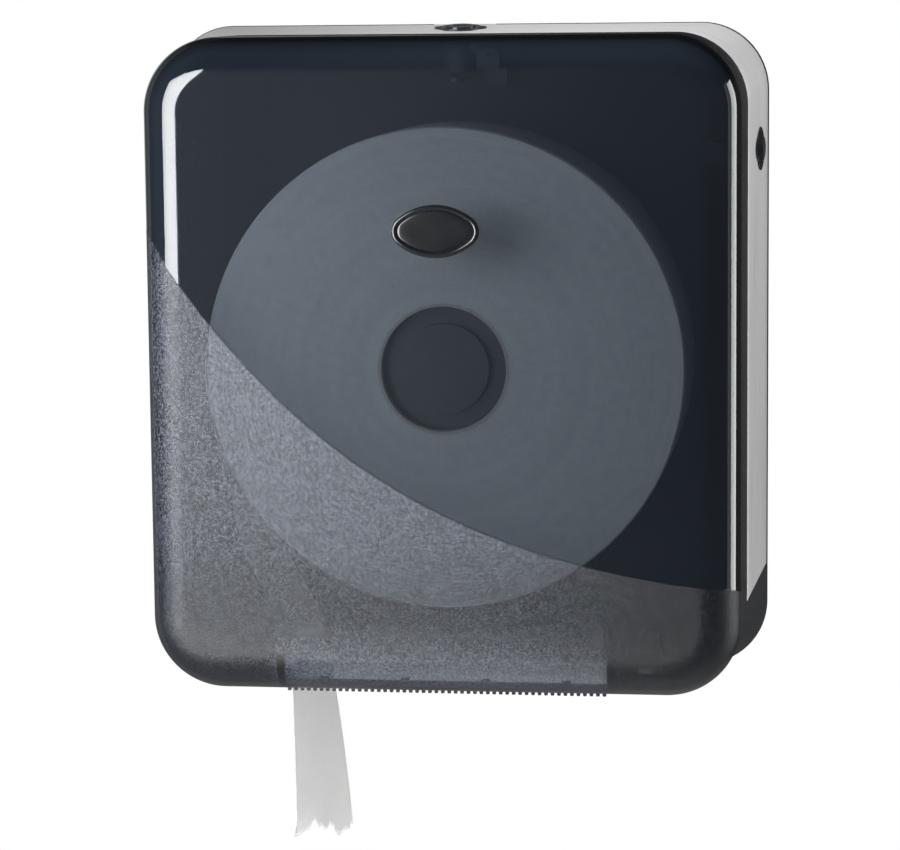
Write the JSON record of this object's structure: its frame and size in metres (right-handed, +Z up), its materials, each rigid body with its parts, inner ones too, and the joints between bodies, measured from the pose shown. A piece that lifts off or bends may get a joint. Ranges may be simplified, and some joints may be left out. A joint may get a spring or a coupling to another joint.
{
  "type": "jumbo toilet roll dispenser",
  "caption": "Wall dispenser for one jumbo toilet roll, with a see-through hinged cover, silver side band, key lock and a toothed tear bar at the mouth.",
  "frame": {"origin": "centre of the housing's back face, on the wall", "axes": "+X to the right as seen from the front, +Y into the wall, +Z up"},
  "size_m": [0.35, 0.1326, 0.4663],
  "materials": {
    "housing_black": "fine-grained satin black moulding",
    "band_silver": "brushed along its length",
    "smoke_clear": "smoked see-through, polished, with a grained frosted zone lower left",
    "gloss_black": "gloss black",
    "spindle_grey": "matt dark grey moulding",
    "steel": "plain zinc-plated steel",
    "tooth_black": "matt black moulding",
    "cardboard": "raw grey-brown board",
    "tissue": "soft embossed tissue"
  },
  "bodies": {
    "housing": {"rear_housing": "housing_black", "trim_band": "band_silver", "spindle": "spindle_grey", "spindle_screws": "steel", "spindle_cap": "spindle_grey", "lock_housing": "gloss_black", "lock_nut": "steel", "button_bezel_left": "gloss_black", "button_bezel_right": "gloss_black", "button_spring_left": "steel", "button_spring_right": "steel", "hinge_pin_left": "steel", "hinge_pin_right": "steel", "paper_tail": "tissue"},
    "cover": {"front_cover": "smoke_clear", "tear_bar": "tooth_black", "tear_bar_screws": "steel", "badge_bezel": "gloss_black", "badge_plate": "gloss_black", "cover_strike": "steel", "strike_screws": "steel", "cover_catch_left": "housing_black", "cover_catch_right": "housing_black"},
    "lock": {"lock_barrel": "steel", "lock_cam": "steel", "cam_screw": "steel"},
    "button_left": {"release_button_left": "gloss_black"},
    "button_right": {"release_button_right": "gloss_black"},
    "roll": {"hub_sleeve": "spindle_grey", "core_tube": "cardboard", "paper_roll": "tissue"}
  },
  "joints": [
    {"name": "cover_hinge", "type": "hinge", "parent": "housing", "child": "cover", "pos_m": [0, -0.058, -0.172], "axis": [1, 0, 0], "range_deg": [0, 90], "deforming": ["paper_tail"]},
    {"name": "roll_spin", "type": "hinge", "parent": "housing", "child": "roll", "pos_m": [0, -0.059, -0.002], "axis": [0, 1, 0], "continuous": true},
    {"name": "lock_turn", "type": "hinge", "parent": "housing", "child": "lock", "pos_m": [0, -0.02, 0.1845], "axis": [0, -0.124, 0.9923], "range_deg": [0, 90]},
    {"name": "press_left", "type": "slide", "parent": "housing", "child": "button_left", "axis": [1, 0, 0], "range_m": [0, 0.003], "stiffness_N_per_m": 600, "deforming": ["button_spring_left"]},
    {"name": "press_right", "type": "slide", "parent": "housing", "child": "button_right", "axis": [-1, 0, 0], "range_m": [0, 0.003], "stiffness_N_per_m": 600, "deforming": ["button_spring_right"]}
  ]
}
